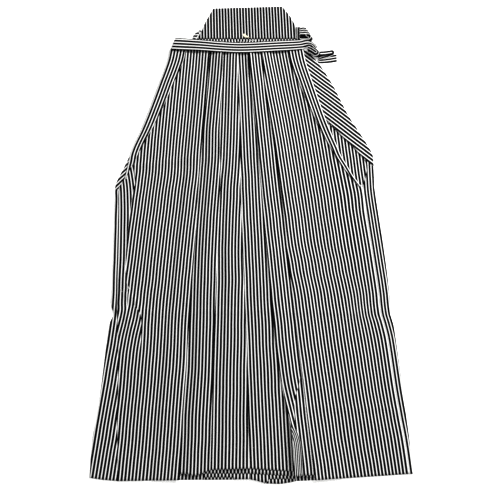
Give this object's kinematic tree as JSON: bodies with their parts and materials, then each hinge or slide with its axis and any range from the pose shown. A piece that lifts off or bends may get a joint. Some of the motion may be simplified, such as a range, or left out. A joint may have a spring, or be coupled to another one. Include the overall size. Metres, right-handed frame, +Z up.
{
  "type": "striped hakama trousers laid flat",
  "caption": "Wide pleated wrap trousers in narrow stripes, laid flat with the front up, with a stiff back board, a waistband and folded waist ties.",
  "frame": {"origin": "under the middle of the garment's outline, on the surface that it lies on", "axes": "+Y towards the back board, +X towards the wearer's left leg, +Z up out of the front"},
  "size_m": [0.612, 1.03, 0.0154],
  "materials": {
    "striped_cloth": "smooth plain weave of polyester in even stripes of black and off-white, about 3 mm each",
    "cream_plastic": "cream moulded plastic with a soft gloss"
  },
  "bodies": {
    "root": {"back_leg_right": "striped_cloth", "back_leg_left": "striped_cloth", "crotch_gusset": "striped_cloth", "front_leg_right": "striped_cloth", "front_leg_left": "striped_cloth", "front_side_pleat_right": "striped_cloth", "front_side_pleat_left": "striped_cloth", "front_waistband": "striped_cloth", "front_tie_knot": "striped_cloth", "front_tie_tail": "striped_cloth", "back_board": "striped_cloth", "back_board_strip": "striped_cloth", "back_tie_left": "striped_cloth", "back_tie_right": "striped_cloth", "waist_spatula": "cream_plastic"}
  },
  "joints": []
}
